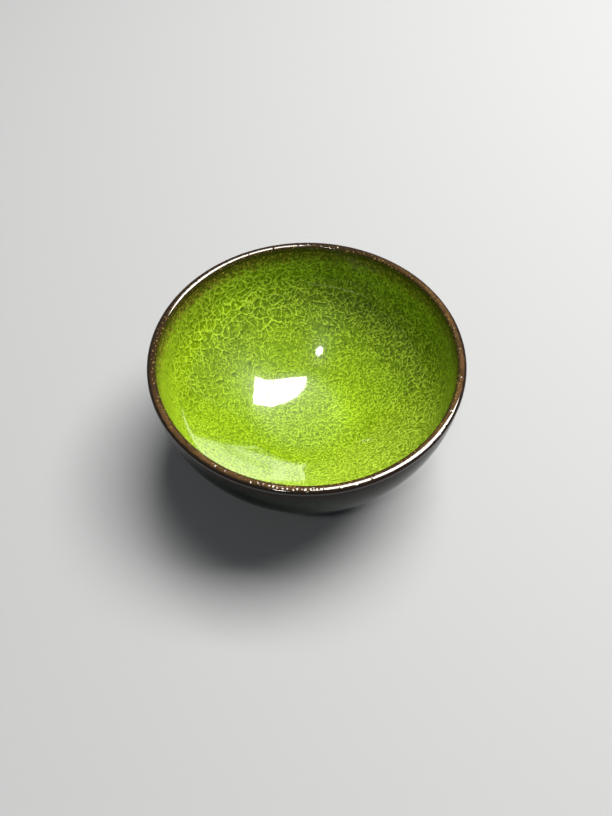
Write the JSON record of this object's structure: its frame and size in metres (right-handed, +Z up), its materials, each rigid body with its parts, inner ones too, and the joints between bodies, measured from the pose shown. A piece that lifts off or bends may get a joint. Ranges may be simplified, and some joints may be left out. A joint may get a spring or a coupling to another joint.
{
  "type": "matcha bowl",
  "caption": "Round open stoneware tea bowl for whisked tea, with a green crackle liner, near-black glazed outside, iron-brown lip and turned foot ring.",
  "frame": {"origin": "centre of the foot ring's contact face, on the bowl's axis", "axes": "+Z up along the bowl's axis of symmetry, through the open mouth"},
  "size_m": [0.12, 0.12, 0.061],
  "materials": {
    "body_clay": "bare fired stoneware, fine sand",
    "foot_clay": "bare fired stoneware, turned",
    "crackle_green_glaze": "gloss, two-tone green crackle",
    "dark_green_glaze": "gloss, near-black green",
    "iron_brown_glaze": "gloss, pitted iron brown",
    "foot_well_glaze": "gloss, thin brushed patch"
  },
  "bodies": {
    "root": {"clay_body": "body_clay", "foot_ring": "foot_clay", "inner_glaze": "crackle_green_glaze", "outer_glaze": "dark_green_glaze", "rim_glaze": "iron_brown_glaze", "foot_well_glaze": "foot_well_glaze"}
  },
  "joints": []
}
